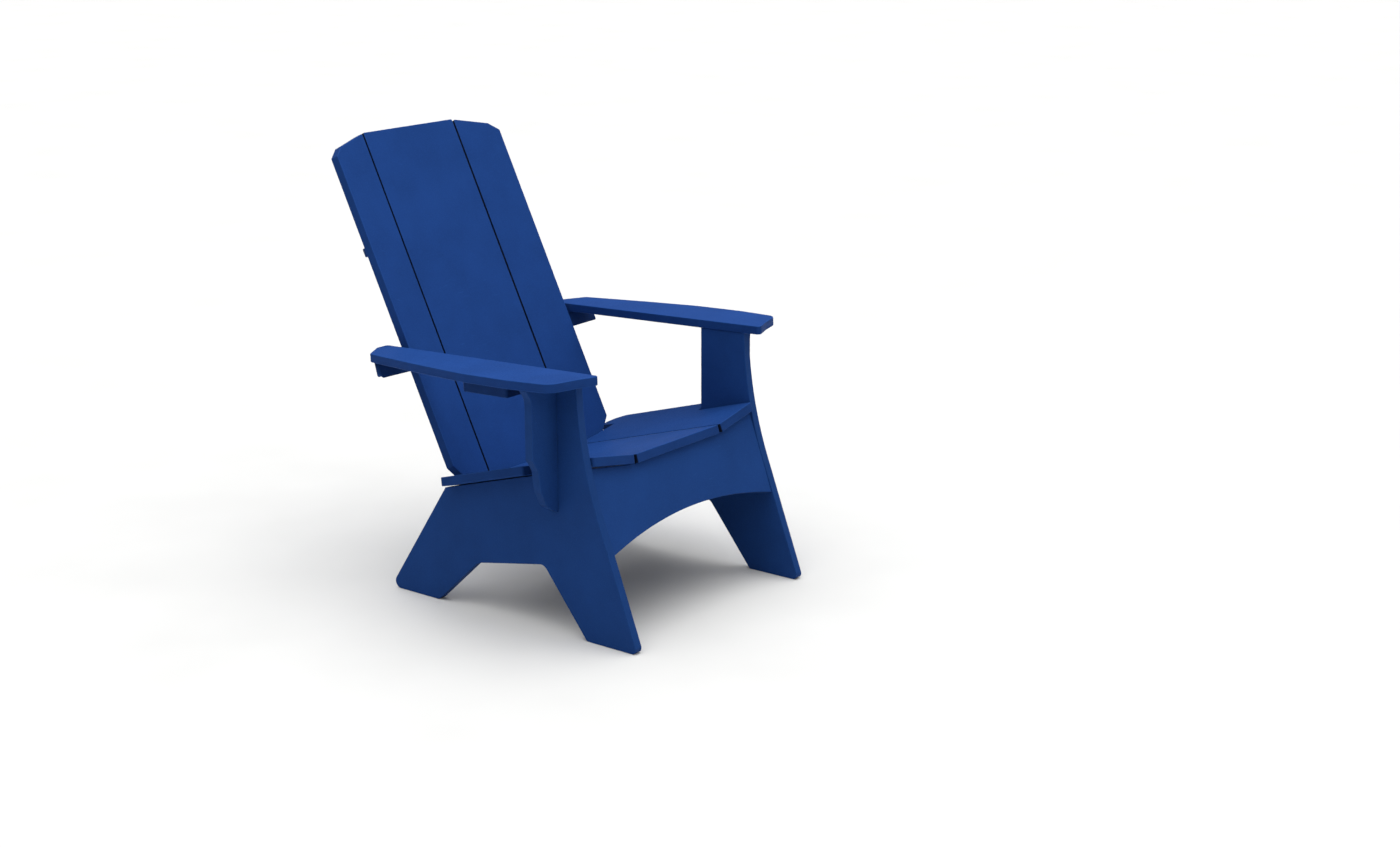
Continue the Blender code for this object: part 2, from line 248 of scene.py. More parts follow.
@dataclass(frozen=True)
class SheetPlastic:
    """High-density polyethylene sheet, pressed with a fine grain and cut by a router."""

    name: str
    tone: str
    light: str
    worn: str
    slot: str
    # Painted shade for the routed edges along open seams and where the seat boards rest on the
    # panels.
    grime: str = "#0b0f1a"
    cloud_shade: float = 0.86
    # Painted shade: how much darker the routed edges are drawn than the pressed face.
    cut_shade: float = 0.74
    # The real pebbles and cutter lines are about half a millimetre apart. They
    # are drawn coarser, or else they wouldn't show.
    grain_mm: float = 2.6
    cutter_mark_mm: float = 1.3
    chatter_mm: float = 9.0
    scuff_mm: float = 30.0
    mottle_mm: float = 95.0
    refraction: float = 1.5
    gloss: float = 0.03

    def face(self) -> bpy.types.Material:
        """Makes the pressed face: matt, lightly pebbled, with cloudy tone and faint scuffs.

        Returns:
            The face material.
        """
        material, tree = new_material(self.name + "_pressed_face")
        spot = add_node(tree, "TexCoord").outputs["Object"]
        mottle = self._noise(tree, spot, self.mottle_mm, 3.0, 0.55)
        grain = self._noise(tree, spot, self.grain_mm, 4.0, 0.62)
        rim = add_node(tree, "Attribute", {"attribute_name": "rim"}).outputs["Fac"]
        scuff = self._scuffs(tree, spot)
        # Cloudy tone of the pigment, then the grain's tiny lit bumps.
        cloud = spread(tree, mottle, (0.32, 0.70), (0.0, 1.0))
        tone = mixed(tree, cloud, self._deep(self.cloud_shade), linear_colour(self.tone))
        pebbles = spread(tree, grain, (0.45, 0.75), (0.0, 0.42))
        tone = mixed(tree, pebbles, tone, linear_colour(self.light))
        # Handling polishes and pales the eased rims and the scuffs.
        rubbed = spread(tree, rim, (0.2, 1.0), (0.0, 0.3))
        tone = mixed(tree, rubbed, tone, linear_colour(self.worn))
        tone = mixed(tree, scuff, tone, linear_colour(self.worn))
        roughness = spread(tree, grain, (0.3, 0.75), (0.66, 0.52))
        height = add_node(tree, "Math", {"operation": "MULTIPLY_ADD"}, {0: grain, 1: 1.0, 2: scuff})
        relief = {"Height": height.outputs[0], "Strength": 0.35, "Distance": 0.0004}
        bump = add_node(tree, "Bump", inputs=relief)
        close_material(tree, tone, roughness, bump.outputs["Normal"], self._fixed())
        return material

    def cut_edge(self) -> bpy.types.Material:
        """Makes the routed edge: a little darker, as painted shade, and smoother, with the cutter's
        fine lines.

        Returns:
            The edge material.
        """
        material, tree = new_material(self.name + "_routed_edge")
        spot = add_node(tree, "TexCoord").outputs["Object"]
        mottle = self._noise(tree, spot, self.mottle_mm / 3, 3.0, 0.5)
        rim = add_node(tree, "Attribute", {"attribute_name": "rim"}).outputs["Fac"]
        depth = add_node(tree, "Attribute", {"attribute_name": "sheet_depth"}).outputs["Fac"]
        # The cutter's lines run along the edge, so they vary only through the sheet.
        line_settings = {"noise_dimensions": "1D"}
        line_inputs = {"W": depth, "Scale": 1000 / self.cutter_mark_mm, "Detail": 2.0}
        lines = add_node(tree, "TexNoise", line_settings, line_inputs).outputs["Fac"]
        chatter = self._noise(tree, spot, self.chatter_mm, 2.0, 0.5)
        cloud = spread(tree, mottle, (0.3, 0.7), (0.0, 1.0))
        deep = self._deep(self.cloud_shade * self.cut_shade)
        tone = mixed(tree, cloud, deep, self._deep(self.cut_shade))
        crests = spread(tree, lines, (0.4, 0.7), (0.0, 0.35))
        tone = mixed(tree, crests, tone, linear_colour(self.tone))
        rubbed = spread(tree, rim, (0.2, 1.0), (0.0, 0.3))
        tone = mixed(tree, rubbed, tone, linear_colour(self.light))
        # Painted shade darkens the routed edges along the seams, which makes them read as dark
        # lines.
        seam = add_node(tree, "Attribute", {"attribute_name": "seam"}).outputs["Fac"]
        seam_shading = spread(tree, seam, (0.1, 0.9), (0.0, 0.93))
        tone = mixed(tree, seam_shading, tone, linear_colour(self.grime))
        roughness = spread(tree, lines, (0.35, 0.7), (0.58, 0.44))
        blend = {0: chatter, 1: 0.5, 2: lines}
        height = add_node(tree, "Math", {"operation": "MULTIPLY_ADD"}, blend)
        relief = {"Height": height.outputs[0], "Strength": 0.3, "Distance": 0.0003}
        bump = add_node(tree, "Bump", inputs=relief)
        close_material(tree, tone, roughness, bump.outputs["Normal"], self._fixed())
        return material

    def _fixed(self) -> dict[str, float]:
        """Gives the shader values that are the same all over the sheet."""
        return {"IOR": self.refraction, "Specular IOR Level": self.gloss}

    def _deep(self, share: float) -> tuple[float, float, float, float]:
        """Gives a darker shade of the tone."""
        red, green, blue, alpha = linear_colour(self.tone)
        return red * share, green * share, blue * share, alpha

    @staticmethod
    def _noise(
        tree: bpy.types.NodeTree,
        spot: bpy.types.NodeSocket,
        size_mm: float,
        detail: float,
        roughness: float,
    ) -> bpy.types.NodeSocket:
        """Adds noise whose cells are about one size across.

        Args:
            tree: The material's node tree.
            spot: The position socket.
            size_mm: The cells' size.
            detail: How many finer layers lie on it.
            roughness: How strong the finer layers are.

        Returns:
            The noise value's socket.
        """
        inputs = {
            "Vector": spot,
            "Scale": 1000 / size_mm,
            "Detail": detail,
            "Roughness": roughness,
        }
        return add_node(tree, "TexNoise", inputs=inputs).outputs["Fac"]

    def _scuffs(self, tree: bpy.types.NodeTree, spot: bpy.types.NodeSocket) -> bpy.types.NodeSocket:
        """Adds short, thin scuffs that lie in sparse patches.

        Args:
            tree: The material's node tree.
            spot: The position socket.

        Returns:
            The share of scuff at a point.
        """
        # Squeezing the space across one slanted direction draws the cells out long.
        squeeze = {"Vector": spot, "Rotation": (0.3, 0.2, 0.9), "Scale": (1.0, 14.0, 3.0)}
        stretched = add_node(tree, "Mapping", inputs=squeeze)
        lines = self._noise(tree, stretched.outputs["Vector"], self.scuff_mm, 2.0, 0.5)
        patches = self._noise(tree, spot, self.scuff_mm * 5, 1.0, 0.5)
        thin = spread(tree, lines, (0.66, 0.72), (0.0, 0.22))
        where = spread(tree, patches, (0.5, 0.65), (0.0, 1.0))
        return add_node(tree, "Math", {"operation": "MULTIPLY"}, {0: thin, 1: where}).outputs[0]


@dataclass(frozen=True)
class StainlessSteel:
    """Stainless steel screw, turned and slightly weathered."""

    name: str = "turned_stainless_steel"
    bright: str = "#c6c8c8"
    dull: str = "#8b8d8c"
    patches_per_metre: float = 420.0  # Dull patches 2.4 mm across.
    rings_per_metre: float = 2600.0  # Turning rings 0.4 mm apart.

    def material(self) -> bpy.types.Material:
        """Makes the metal: a soft grey shine with dull patches and fine turning rings.

        Returns:
            The metal material.
        """
        material, tree = new_material(self.name)
        spot = add_node(tree, "TexCoord").outputs["Object"]
        patch_inputs = {"Vector": spot, "Scale": self.patches_per_metre, "Detail": 4.0}
        patches = add_node(tree, "TexNoise", inputs=patch_inputs)
        ring_inputs = {"Vector": spot, "Scale": self.rings_per_metre, "Detail": 2.0}
        rings = add_node(tree, "TexNoise", inputs=ring_inputs)
        share = spread(tree, patches.outputs["Fac"], (0.4, 0.65), (0.0, 1.0))
        tone = mixed(tree, share, linear_colour(self.bright), linear_colour(self.dull))
        roughness = spread(tree, patches.outputs["Fac"], (0.35, 0.7), (0.24, 0.46))
        relief = {"Height": rings.outputs["Fac"], "Strength": 0.15, "Distance": 0.0001}
        bump = add_node(tree, "Bump", inputs=relief)
        close_material(tree, tone, roughness, bump.outputs["Normal"], {"Metallic": 1.0})
        return material


@dataclass(frozen=True)
class BeechDowel:
    """Fluted beech dowel, raw and dry."""

    name: str = "raw_beech"
    early: str = "#cfa778"
    late: str = "#9c7145"
    flecks_per_metre: float = 900.0  # Flecks 1.1 mm across, and far longer.

    def material(self) -> bpy.types.Material:
        """Makes the wood: pale, with short dark flecks along the grain.

        Returns:
            The wood material.
        """
        material, tree = new_material(self.name)
        spot = add_node(tree, "TexCoord").outputs["Object"]
        stretched = add_node(tree, "Mapping", inputs={"Vector": spot, "Scale": (1.0, 1.0, 0.15)})
        fleck_inputs = {
            "Vector": stretched.outputs[0],
            "Scale": self.flecks_per_metre,
            "Detail": 5.0,
        }
        grain = add_node(tree, "TexNoise", inputs=fleck_inputs)
        share = spread(tree, grain.outputs["Fac"], (0.42, 0.62), (0.0, 1.0))
        tone = mixed(tree, share, linear_colour(self.early), linear_colour(self.late))
        roughness = spread(tree, grain.outputs["Fac"], (0.3, 0.7), (0.82, 0.68))
        relief = {"Height": grain.outputs["Fac"], "Strength": 0.4, "Distance": 0.0002}
        bump = add_node(tree, "Bump", inputs=relief)
        close_material(tree, tone, roughness, bump.outputs["Normal"], {"Specular IOR Level": 0.03})
        return material


def fillet(corners: Outline) -> list[Vector]:
    """Rounds the corners of an outline.

    Args:
        corners: The outline's corners, in order round it.

    Returns:
        The rounded outline's points.
    """
    points: list[Vector] = []
    for index, (x, y, radius) in enumerate(corners):
        before = corners[index - 1]
        after = corners[(index + 1) % len(corners)]
        arrive = math.atan2(y - before.y, x - before.x)
        leave = math.atan2(after.y - y, after.x - x)
        turn = (leave - arrive + math.pi) % (2 * math.pi) - math.pi
        if radius == 0 or abs(turn) < SLACK:
            points.append(Vector((x, y, 0)))
            continue
        reach = radius * math.tan(abs(turn) / 2)
        normal = arrive + math.copysign(math.pi / 2, turn)
        centre = Vector((x - reach * math.cos(arrive), y - reach * math.sin(arrive), 0))
        centre += radius * Vector((math.cos(normal), math.sin(normal), 0))
        steps = max(3, math.ceil(abs(turn) / ARC_STEP))
        for step in range(steps + 1):
            angle = normal + math.pi + turn * step / steps
            points.append(centre + radius * Vector((math.cos(angle), math.sin(angle), 0)))
    return points


def mirrored(half: Outline) -> Outline:
    """Completes an outline whose +X half is given, from its lower end to its upper end.

    Args:
        half: The +X half.

    Returns:
        The whole outline.
    """
    return half + [Corner(-x, y, radius) for x, y, radius in reversed(half)]


def sided(corners: Outline, side: Side) -> Outline:
    """Mirrors an outline for the right side.

    Args:
        corners: The outline on the left side.
        side: The side that it is for.

    Returns:
        The outline on that side.
    """
    return [Corner(side.value * x, y, radius) for x, y, radius in corners]


def place(depth: float, height: float, turn: float = 0.0, across: float = 0.0) -> Matrix:
    """Gives the placement at a depth behind the front toe and a height.

    Args:
        depth: Depth behind the toe of the front feet.
        height: Height over the floor.
        turn: Turn about the X axis, in degrees.
        across: Distance from the middle.

    Returns:
        The placement, in metres.
    """
    where = Matrix.Translation((across * MM, (depth - DEPTH_CENTRE) * MM, height * MM))
    return where @ Matrix.Rotation(math.radians(turn), 4, "X")


def shifted(
    plane: Matrix, x: float = 0.0, y: float = 0.0, z: float = 0.0, turn: float = 0.0
) -> Matrix:
    """Gives the placement at a point of a plane.

    Args:
        plane: The plane's own placement.
        x: Distance along its X axis.
        y: Distance along its Y axis.
        z: Distance along its normal.
        turn: Turn about its X axis, in degrees.

    Returns:
        The placement.
    """
    where = plane @ Matrix.Translation((x * MM, y * MM, z * MM))
    return where @ Matrix.Rotation(math.radians(turn), 4, "X")


def winged(plane: Matrix, seam: float, side: Side) -> Matrix:
    """Tilts a board plane forwards about its seam.

    Args:
        plane: The centre board's plane.
        seam: The seam's distance from the middle.
        side: The side that the tilted board is on.

    Returns:
        The tilted plane's placement.
    """
    hinge = Matrix.Translation((side.value * seam * MM, 0, 0))
    return plane @ hinge @ Matrix.Rotation(math.radians(-side.value * WING_TILT), 4, "Y")


SEAT_PLANE = place(SEAT_FRONT, SEAT_HEIGHT, -SEAT_SLOPE)
BACK_PLANE = place(BACK_FOOT, 0, 90 - BACK_RECLINE)
ARM_PLANE = place(0, ARM_HEIGHT, -ARM_SLOPE)
APRON_PLANE = place(APRON_FOOT, 0, 90 - APRON_LEAN)
SIDE_TURN = Matrix.Rotation(math.pi / 2, 4, "Z") @ Matrix.Rotation(math.pi / 2, 4, "X")


def arm_underside(depth: float) -> float:
    """Gives the height of the arms' lower face.

    Args:
        depth: Depth behind the toe of the front feet.

    Returns:
        The height over the floor.
    """
    slope = math.radians(ARM_SLOPE)
    return ARM_HEIGHT - depth * math.tan(slope) - SHEET / math.cos(slope)


def seat_rest(depth: float) -> float:
    """Gives the height of the side seat boards' lower face along the panels' inner faces.

    Args:
        depth: Depth behind the toe of the front feet.

    Returns:
        The height over the floor.
    """
    tilt = math.radians(WING_TILT)
    slope = math.radians(SEAT_SLOPE)
    lift = (PANEL_INNER - SEAT_SEAM) * math.tan(tilt) - SHEET / math.cos(tilt)
    return SEAT_HEIGHT - (depth - SEAT_FRONT) * math.tan(slope) + lift / math.cos(slope)


def upright_line(x: float) -> tuple[Vector, Vector]:
    """Gives the seam line at a distance from a board's middle."""
    return Vector((x, -SEAM_REACH, 0)), Vector((x, SEAM_REACH, 0))


def register(piece: bpy.types.Object, node: str) -> bpy.types.Object:
    """Ties a finished piece to the frame.

    Args:
        piece: The piece, in place.
        node: The CAD node that it stands for.

    Returns:
        The same piece.
    """
    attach(piece, BODY)
    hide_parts(node)
    LOG.info("%s stands for %s", piece.name, node)
    return piece


class MaterialShelf:
    """Makes each sheet finish once and hands it to every board that wears it."""

    def __init__(self) -> None:
        """Starts with an empty shelf."""
        self._made: dict[str, list[bpy.types.Material]] = {}

    def sheet(self, finish: SheetPlastic) -> list[bpy.types.Material]:
        """Gives a sheet's two materials, in the order of Surface.

        Args:
            finish: The sheet's finish.

        Returns:
            The face material and the edge material.
        """
        if finish.name not in self._made:
            self._made[finish.name] = [finish.face(), finish.cut_edge()]
        return self._made[finish.name]


SHELF = MaterialShelf()


@dataclass
class Board:
    """One board routed from sheet, with both its rims rounded over."""

    node: str
    outline: Outline
    placement: Matrix
    finish: SheetPlastic
    thickness: float = SHEET
    seams: tuple[tuple[Vector, Vector], ...] = ()
    seam_slant: float = 0.0  # Rise of a seam's edge through the sheet; the sign says whence.
    roundover: float = 1.7
    rim_steps: int = 4
    flat_from: float = 0.72  # The least normal, along the thickness, of a pressed face.
    sharp_angle: float = 38.0

    def build(self) -> bpy.types.Object:
        """Cuts the board, rounds its rims, dresses it and ties it to the frame.

        Returns:
            The finished piece.
        """
        shape = self.cut_blank()
        self.round_rims(shape)
        return self.dress(shape)

    def cut_blank(self) -> bmesh.types.BMesh:
        """Extrudes the outline to the sheet's thickness.

        Returns:
            The board with square rims.
        """
        shape = bmesh.new()
        face = shape.faces.new([shape.verts.new(point * MM) for point in fillet(self.outline)])
        raised = bmesh.ops.extrude_face_region(shape, geom=[face])["geom"]
        tops = [item for item in raised if isinstance(item, bmesh.types.BMVert)]
        bmesh.ops.translate(shape, verts=tops, vec=(0, 0, self.thickness * MM))
        bmesh.ops.recalc_face_normals(shape, faces=shape.faces)
        return shape

    def round_rims(self, shape: bmesh.types.BMesh) -> None:
        """Rounds the edges where the pressed faces meet the routed edge.

        Args:
            shape: The square board.
        """
        rims = [
            edge
            for edge in shape.edges
            if len({abs(face.normal.z) > self.flat_from for face in edge.link_faces}) == 2
        ]
        bmesh.ops.bevel(
            shape,
            geom=rims,
            offset=self.roundover * MM,
            offset_type="OFFSET",
            segments=self.rim_steps,
            profile=0.5,
            affect="EDGES",
            clamp_overlap=True,
            material=-1,
        )

    def dress(self, shape: bmesh.types.BMesh) -> bpy.types.Object:
        """Marks rims and depths, sorts the faces' materials and puts the board in its place.

        Args:
            shape: The rounded board.

        Returns:
            The finished piece.
        """
        rim = shape.verts.layers.float.new("rim")
        depth = shape.verts.layers.float.new("sheet_depth")
        seam = shape.verts.layers.float.new("seam")
        inset = self.roundover * MM - SLACK
        for vert in shape.verts:
            vert[depth] = vert.co.z
            near_face = min(vert.co.z, self.thickness * MM - vert.co.z)
            vert[rim] = 1.0 if SLACK < near_face < inset else 0.0
            spot = Vector((vert.co.x / MM, vert.co.y / MM, 0))
            # Points on a seam carry the painted seam shade of the routed edge.
            vert[seam] = 1.0 if any(self._touches(spot, *line) for line in self.seams) else 0.0
        self._slant_seams(shape, seam)
        for face in shape.faces:
            flat = abs(face.normal.z) > self.flat_from
            face.material_index = (Surface.FACE if flat else Surface.CUT_EDGE).value
            face.smooth = True
        bmesh.ops.transform(shape, matrix=self.placement, verts=shape.verts)
        mesh = bpy.data.meshes.new(self.node + "_board")
        shape.to_mesh(mesh)
        shape.free()
        mesh.set_sharp_from_angle(angle=math.radians(self.sharp_angle))
        for material in SHELF.sheet(self.finish):
            mesh.materials.append(material)
        piece = bpy.data.objects.new(self.node + "_board", mesh)
        bpy.context.scene.collection.objects.link(piece)
        weighted = piece.modifiers.new("flat_faces_stay_flat", "WEIGHTED_NORMAL")
        weighted.keep_sharp = True
        return register(piece, self.node)

    @staticmethod
    def _touches(spot: Vector, start: Vector, end: Vector) -> bool:
        """Tells whether a point of the outline lies on a seam."""
        near, share = intersect_point_line(spot, start, end)
        return 0.0 <= share <= 1.0 and (near - spot).length < SEAM_WIDTH

    def _slant_seams(self, shape: bmesh.types.BMesh, seam: bmesh.types.BMLayerItem) -> None:
        """Planes the edge along a seam so that it slants up from one face to the other.

        Args:
            shape: The board, before it is placed.
            seam: The layer that marks the edge.
        """
        low_face = 0.0 if self.seam_slant > 0 else self.thickness * MM
        for vert in shape.verts:
            if vert[seam] > 0.5:
                vert.co.y += self.seam_slant * (vert.co.z - low_face)


class Screw(NamedTuple):
    """Where one pan-head screw sits: its node, place, length and how far its head stands off."""

    node: str
    placement: Matrix
    length: float
    stand: float = 0.0


# The boards take the light differently, so each group has a tone of its own.
ARM_SHEET = SheetPlastic("navy_blue_hdpe_arms", "#1d4080", "#224a8e", "#2d589f", "blue_arms")
SEAT_SHEET = SheetPlastic("navy_blue_hdpe_seat", "#1c3e7b", "#224887", "#2c5697", "blue_seat")
BACK_SHEET = SheetPlastic("navy_blue_hdpe_back", "#1d4080", "#224a8e", "#2d589f", "blue_back")
FRAME_SHEET = SheetPlastic("navy_blue_hdpe_frame", "#1b3c76", "#204683", "#2a5293", "blue_frame")


@dataclass
class SideFrames:
    """Both side panels with their arms and the brackets under the arms."""

    leg_blend_height: float = 262.0
    leg_blend_depth: float = 98.0
    leg_blend_radius: float = 850.0
    leg_top: float = 538.0
    upright_rear: float = 269.0
    seat_rear: float = 519.0
    bracket_depth: float = 222.0
    curve_steps: int = 24
    planed_share: float = 0.45  # How much of the seat boards' tilt the panels follow.

    def build(self) -> list[bpy.types.Object]:
        """Builds both sides.

        Returns:
            The finished pieces.
        """
        pieces = []
        for side in Side:
            inner_face = PANEL_INNER if side is Side.LEFT else -PANEL_OUTER
            upright = place(0, 0, across=inner_face) @ SIDE_TURN
            under_arm = shifted(ARM_PLANE, z=-SHEET)
            arm, bracket = sided(self.arm(), side), sided(self.bracket(), side)
            standing = place(self.bracket_depth, 0, 90)
            pieces += [
                self._panel_board(side, upright).build(),
                Board(f"arm_{side.word}", arm, under_arm, ARM_SHEET, roundover=2.2).build(),
                Board(f"arm_bracket_{side.word}", bracket, standing, FRAME_SHEET).build(),
            ]
        return pieces

    def _panel_board(self, side: Side, upright: Matrix) -> Board:
        """Lays out a side panel whose top is planed to follow the tilted seat board.

        Args:
            side: The panel's side.
            upright: Its placement.

        Returns:
            The board, not yet cut.
        """
        front, rear = (
            Vector((depth, seat_rest(depth) - GAP, 0))
            for depth in (self.upright_rear + 1.0, self.seat_rear)
        )
        rise = math.tan(math.radians(WING_TILT)) / math.cos(math.radians(SEAT_SLOPE))
        return Board(
            f"side_panel_{side.word}",
            self.panel(),
            upright,
            FRAME_SHEET,
            # The seam marks the panel's top edge, which is planed and carries painted shade under
            # the seat board.
            seams=((front, rear),),
            seam_slant=side.value * self.planed_share * rise,
        )

    def panel(self) -> Outline:
        """Draws a side panel: front leg, upright and rear leg in one, in depth and height.

        Returns:
            The outline.
        """
        top = self.upright_rear
        outline = [
            Corner(0, 0, 11),
            Corner(133, 0, 6),
            Corner(246, 142, 20),
            Corner(431, 107, 40),
            Corner(547, 0, 12),
            Corner(690, 0, 15),
            Corner(self.seat_rear, seat_rest(self.seat_rear) - GAP, 2),
            Corner(top, seat_rest(top) - GAP, 6),
            Corner(top, arm_underside(top) - GAP, 1),
        ]
        return outline + self._leg_front() + [Corner(self.leg_blend_depth, self.leg_blend_height)]

    def _leg_front(self) -> Outline:
        """Draws the front leg's bowed front edge, from the arm down.

        Returns:
            The curve's points.
        """
        lean = math.atan2(self.leg_blend_depth, self.leg_blend_height)
        curve = []
        for step in range(self.curve_steps, 0, -1):
            rise = (self.leg_top - self.leg_blend_height) * step / self.curve_steps
            angle = math.asin(math.sin(lean) - rise / self.leg_blend_radius)
            bow = math.cos(angle) - math.cos(lean)
            depth = self.leg_blend_depth + self.leg_blend_radius * bow
            curve.append(Corner(depth, self.leg_blend_height + rise))
        front = curve[0].x
        curve[0] = Corner(front, arm_underside(front) - GAP, 1)
        return curve

    @staticmethod
    def arm() -> Outline:
        """Draws an arm from above: straight inside, bowed outside, rounded at both outer ends.

        Returns:
            The outline, in width and depth.
        """
        return [
            Corner(270, 106, 8),
            Corner(318, 126, 80),
            Corner(380, 144, 30),
            Corner(391.5, 246, 200),
            Corner(391.5, 372, 300),
            Corner(376, 505, 900),
            Corner(357, 634, 60),
            Corner(351.5, 667, 12),
            Corner(301, 697, 10),
            Corner(270, 697, 8),
        ]

    def bracket(self) -> Outline:
        """Draws the bracket under an arm from the front, with its foot swept in to the panel.

        Returns:
            The outline, in width and height.
        """
        inner = PANEL_OUTER + GAP
        top = arm_underside(self.bracket_depth) - GAP
        return [
            Corner(inner, 262, 1),
            Corner(325, 281, 30),
            Corner(344, 318, 50),
            Corner(350, 361, 12),
            Corner(367, 388, 10),
            Corner(367, 511, 30),
            Corner(383, top, 1),
            Corner(inner, top, 1),
        ]


@dataclass
class Seat:
    """Three sloping seat boards, the outer two tilted up and notched behind the uprights."""

    length: float = 415.0
    notch: float = 152.5
    roundover: float = 1.5

    def build(self) -> list[bpy.types.Object]:
        """Builds the boards.

        Returns:
            The finished pieces.
        """
        half = SEAT_SEAM - SEAM_HALF
        centre = mirrored([Corner(half, 0, 4), Corner(half, self.length, 4)])
        under = shifted(SEAT_PLANE, z=-SHEET)
        seams = (upright_line(-half), upright_line(half))
        style = {"finish": SEAT_SHEET, "roundover": self.roundover}
        pieces = [Board("seat_board_centre", centre, under, seams=seams, **style).build()]
        for side in Side:
            wing = shifted(winged(SEAT_PLANE, SEAT_SEAM, side), z=-SHEET)
            outline = sided(self.side_board(side), side)
            seams = (upright_line(side.value * SEAM_HALF),)
            board = Board(f"seat_board_{side.word}", outline, wing, seams=seams, **style)
            pieces.append(board.build())
        return pieces

    def side_board(self, side: Side) -> Outline:
        """Draws a side board from its seam outwards and from front to rear.

        Args:
            side: The board's side. The left board runs on past the slat's outer edge.

        Returns:
            The outline.
        """
        front = [
            Corner(SEAM_HALF, 0, 4),
            Corner(127.8, 0, 5),
            Corner(127.8, self.notch, 3),
            Corner(174.5, self.notch, 5),
        ]
        if side is Side.LEFT:
            rear = [
                Corner(174.5, 404, 14),
                Corner(160, 428, 10),
                Corner(142, 440, 4),
                Corner(121, 440, 4),
                Corner(121, 397.5, 2),
            ]
        else:
            rear = [Corner(174.5, 395, 5), Corner(116, 397.5, 30)]
        return front + rear + [Corner(SEAM_HALF, self.length, 4)]


@dataclass
class Back:
    """Three reclined slats, the outer two tilted forwards, and the battens behind them."""

    length: float = 1068.5
    tail: float = 205.0
    roundover: float = 1.5
    # For each batten, its height up the back and the distance of its ends from the middle.
    battens: dict[str, tuple[float, float]] = field(
        default_factory=lambda: {"upper": (806.0, 228.0), "lower": (325.5, 205.0)}
    )

    def build(self) -> list[bpy.types.Object]:
        """Builds the slats and battens.

        Returns:
            The finished pieces.
        """
        half = BACK_SEAM - SEAM_HALF
        centre = mirrored([Corner(half, self.tail, 4), Corner(half, self.length, 4)])
        behind = shifted(BACK_PLANE, z=-SHEET)
        seams = (upright_line(-half), upright_line(half))
        style = {"finish": BACK_SHEET, "roundover": self.roundover}
        pieces = [Board("back_slat_centre", centre, behind, seams=seams, **style).build()]
        for side in Side:
            wing = shifted(winged(BACK_PLANE, BACK_SEAM, side), z=-SHEET)
            outline = sided(self.side_slat(), side)
            seams = (upright_line(side.value * SEAM_HALF),)
            slat = Board(f"back_slat_{side.word}", outline, wing, seams=seams, **style)
            pieces.append(slat.build())
        for row, (height, reach) in self.battens.items():
            placement = shifted(BACK_PLANE, y=height, turn=-90)
            batten = Board(f"back_batten_{row}", self.batten(reach), placement, FRAME_SHEET)
            pieces.append(batten.build())
        return pieces

    @staticmethod
    def side_slat() -> Outline:
        """Draws a side slat, from its seam outwards and from bottom to top.

        Returns:
            The outline.
        """
        return [
            Corner(SEAM_HALF, 272, 4),
            Corner(77, 272, 6),
            Corner(116.3, 316.9, 5),
            Corner(116.3, 1021.1, 5),
            Corner(90.9, 1041.7, 5),
            Corner(SEAM_HALF, 1067, 4),
        ]

    @staticmethod
    def batten(reach: float) -> Outline:
        """Draws a batten from above, its front edge cut to follow the slats.

        Args:
            reach: The distance of its ends from the middle.

        Returns:
            The outline.
        """
        fall = math.tan(math.radians(WING_TILT))
        seam = BACK_SEAM - 1.0
        front = SHEET + 0.9
        end_front = front - (reach - seam) * fall
        half = [Corner(seam, front), Corner(reach, end_front, 3), Corner(reach, BATTEN_BACK, 6)]
        return mirrored(half)


